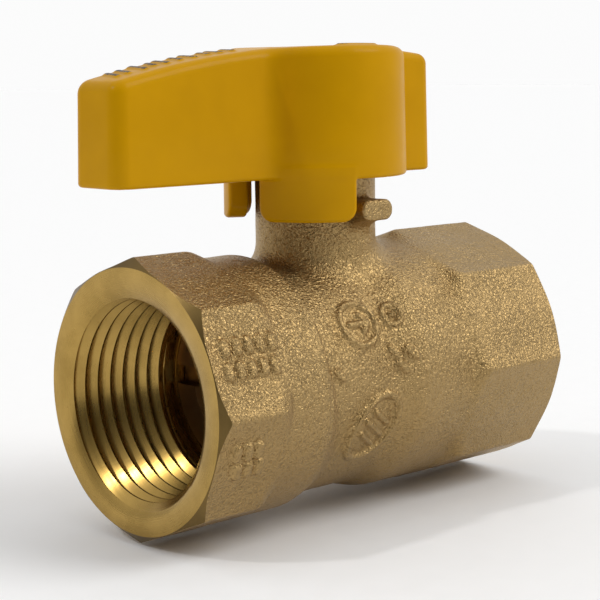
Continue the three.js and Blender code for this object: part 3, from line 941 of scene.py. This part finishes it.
def stem():
    """The stem: foot, two ring grooves, drive flats, screw hole and tang."""
    outline = [(0, STEM_FOOT_Z), (STEM_FOOT_R, STEM_FOOT_Z), (STEM_FOOT_R, STEM_FOOT_TOP)]
    outline.append((STEM_R, STEM_FOOT_TOP))
    for height in RING_HEIGHTS.values():
        low, high = height - RING_GROOVE_HEIGHT / 2, height + RING_GROOVE_HEIGHT / 2
        outline += [(STEM_R, low), (RING_GROOVE_R, low), (RING_GROOVE_R, high), (STEM_R, high)]
    outline += [(STEM_R, STEM_TOP), (0, STEM_TOP)]
    obj = lathe("turned_stem", softened(outline, 0.2), "Z")
    flat, clear, above = STEM_FLATS / 2, STEM_R + 1.5, STEM_TOP + 1
    flats_cut = [
        box_cutter((-clear, -clear, STEM_SHOULDER_Z), (-flat, clear, above)),
        box_cutter((flat, -clear, STEM_SHOULDER_Z), (clear, clear, above)),
    ]
    hole_r, hole_low = STEM_SCREW_HOLE
    screw_hole = lathe("cutter", [(0, hole_low), (hole_r, hole_low), (hole_r, above), (0, above)], "Z", 64)
    combine(obj, flats_cut + [screw_hole])
    half_x, half_y = TANG_HALF
    combine(obj, [box_cutter((-half_x, -half_y, TANG_LOW), (half_x, half_y, STEM_FOOT_Z + 0.5))], "UNION")
    crease(obj)
    keep(obj, HANDLE_SET, "machined_brass", STEM_BRASS, "stem")


def stem_ring(node, height):
    """One rubber ring in its groove."""
    ring = np.linspace(0, 2 * math.pi, 24, endpoint=False)
    middle = RING_GROOVE_R + RING_SECTION_R + 0.04
    outline = [(middle + RING_SECTION_R * math.cos(a), height + RING_SECTION_R * math.sin(a)) for a in ring]
    keep(lathe(node + "_seal", outline, "Z", 96), HANDLE_SET, "nitrile", NITRILE, node)


def thrust_washer():
    low, high = STEM_FOOT_TOP + SLACK / 2, STEM_FOOT_HOLE_TOP - SLACK / 2
    inner_r = STEM_R + SLACK
    outline = [(inner_r, low), (STEM_FOOT_R, low), (STEM_FOOT_R, high), (inner_r, high)]
    obj = lathe("stem_washer", softened(outline, 0.12), "Z")
    crease(obj)
    keep(obj, VALVE, "ptfe", PTFE, "thrust_washer")


def spring_washer():
    low, high = SCREW_SEAT + SLACK / 2, SCREW_HEAD_LOW - SLACK
    inner_r = SCREW_R + 0.15
    outline = [(inner_r, low), (WASHER_R, low), (WASHER_R, high), (inner_r, high)]
    obj = lathe("split_washer", softened(outline, 0.15), "Z")
    gap = box_cutter((-WASHER_GAP_HALF, SCREW_R - 1, low - 1), (WASHER_GAP_HALF, WASHER_R + 1, high + 1))
    combine(obj, [gap])
    crease(obj)
    keep(obj, HANDLE_SET, "zinc_steel", ZINC, "spring_washer")


def handle_screw():
    """The cross-head screw: threaded shank and domed head."""
    root = SCREW_R - SCREW_THREAD_DEPTH
    outline = [(0, SCREW_LOW), (SCREW_R - 0.6, SCREW_LOW)]
    turn = SCREW_LOW + 0.6
    while turn < SCREW_HEAD_LOW - 1.0:
        outline += [(root, turn), (SCREW_R, turn + SCREW_THREAD_DEPTH)]
        turn += SCREW_THREAD_STEP
    outline += [(SCREW_R, SCREW_HEAD_LOW - 0.3), (SCREW_R, SCREW_HEAD_LOW), (SCREW_HEAD_R, SCREW_HEAD_LOW)]
    outline += [(SCREW_HEAD_R * share, SCREW_HEAD_TOP - drop) for share, drop in SCREW_DOME]
    obj = lathe("cross_screw", outline, "Z", 96)
    low, high = SCREW_HEAD_TOP - CROSS_DEPTH, SCREW_HEAD_TOP + 1
    long, short = CROSS_HALF
    combine(obj, [box_cutter((-u, -v, low), (u, v, high)) for u, v in ((long, short), (short, long))])
    crease(obj)
    keep(obj, HANDLE_SET, "zinc_steel", ZINC, "handle_screw")


# ---- Stage -------------------------------------------------------------------------------------------


SIDE_LIGHT = 0.55
TOP_LIGHT = 0.9
BACKDROP_LIGHT = 0.97
FRONT_SHARE = 0.15
BACKDROP_WAY = (0.69, 0.72)
FLOOR_HALF = 6000
CAMERA_PLACE = (-135.83, -142.59, 36.92)
CAMERA_TURN = (-43.025, 8.111, -0.529)
CAMERA_LENS = 94.59


def world_light():
    """Soft surroundings: a bright backdrop, greyer sides, a brighter top and a dark patch at the camera."""
    world = bpy.data.worlds.new("studio")
    bpy.context.scene.world = world
    world.use_nodes = True
    tree = world.node_tree
    direction = add(tree, "ShaderNodeTexCoord").outputs["Generated"]
    parts = add(tree, "ShaderNodeSeparateXYZ", {0: direction}).outputs
    shares = [sums(tree, "MULTIPLY", parts[name], share) for name, share in zip("XY", BACKDROP_WAY)]
    facing = sums(tree, "ADD", *shares)
    behind = remap(tree, facing, 0.45, 0.9, 0.0, 1.0)
    low = remap(tree, parts["Z"], 0.12, 0.5, 1.0, 0.0)
    front = remap(tree, facing, -0.9, -0.15, FRONT_SHARE, 1.0)
    sides = sums(tree, "MULTIPLY", remap(tree, parts["Z"], 0.0, 0.9, SIDE_LIGHT, TOP_LIGHT), front)
    level = add(tree, "ShaderNodeMix", data_type="FLOAT")
    link(tree, sums(tree, "MULTIPLY", behind, low), level.inputs[0])
    link(tree, sides, level.inputs[2])
    link(tree, BACKDROP_LIGHT, level.inputs[3])
    tree.nodes["Background"].inputs["Color"].default_value = (1, 1, 1, 1)
    link(tree, level.outputs[0], tree.nodes["Background"].inputs["Strength"])


def stage():
    """A plain pale floor just under the object."""
    corners = [(u * FLOOR_HALF, v * FLOOR_HALF, 0) for u, v in ((-1, -1), (1, -1), (1, 1), (-1, 1))]
    floor = mesh_object("floor", corners, [(0, 1, 2, 3)])
    floor.location.z = CAD_BOUNDS[0][2] - 0.0002
    material, tree, shader, coords = surface("floor", 0.0)
    paper = noise(tree, coords, 300, 3.0)
    set_up(tree, shader, base_color=blend(tree, paper, rgba(0.91, 0.91, 0.91), rgba(0.93, 0.93, 0.93)),
           roughness=remap(tree, paper, 0.3, 0.7, 0.7, 0.85), normal=bump(tree, paper, 0.00002, 0.3))
    floor.data.materials.append(material)


def sun(name, direction, power, spread):
    """Even light from one direction, given as the way towards the light, with its spread in degrees."""
    data = bpy.data.lights.new(name, "SUN")
    data.energy = power
    data.angle = math.radians(spread)
    obj = bpy.data.objects.new(name, data)
    bpy.context.scene.collection.objects.link(obj)
    obj.rotation_euler = Vector(direction).to_track_quat("Z", "Y").to_euler()


def camera():
    """The viewing angle of a close product shot: level with the handle, from the inlet's front left."""
    azimuth, pitch, roll = (math.radians(a) for a in CAMERA_TURN)
    level = math.cos(pitch)
    back = Vector((math.sin(azimuth) * level, -math.cos(azimuth) * level, math.sin(pitch)))
    right = Vector((math.cos(azimuth), math.sin(azimuth), 0))
    up = back.cross(right)
    turned_right = right * math.cos(roll) + up * math.sin(roll)
    turned_up = up * math.cos(roll) - right * math.sin(roll)
    data = bpy.data.cameras.new("camera")
    data.lens = CAMERA_LENS
    data.sensor_width = 36
    data.clip_start = 0.01
    obj = bpy.data.objects.new("camera", data)
    bpy.context.scene.collection.objects.link(obj)
    place = Vector(CAMERA_PLACE) * MM + Vector((STEM_AXIS_X, 0, 0))
    axes = Matrix((turned_right, turned_up, back)).transposed()
    obj.matrix_world = Matrix.Translation(place) @ axes.to_4x4()
    bpy.context.scene.camera = obj


bpy.context.scene.view_settings.view_transform = "Standard"
camera()
stage()
world_light()
sun("key", (0.5, -0.57, 0.65), 1.25, 34)
sun("side", (-0.627, 0.22, 0.746), 0.5, 4)

valve_body()
handle()
ball()
seat(-1)
seat(1)
seat_retainer()
stem()
for node, height in RING_HEIGHTS.items():
    stem_ring(node, height)
thrust_washer()
spring_washer()
handle_screw()
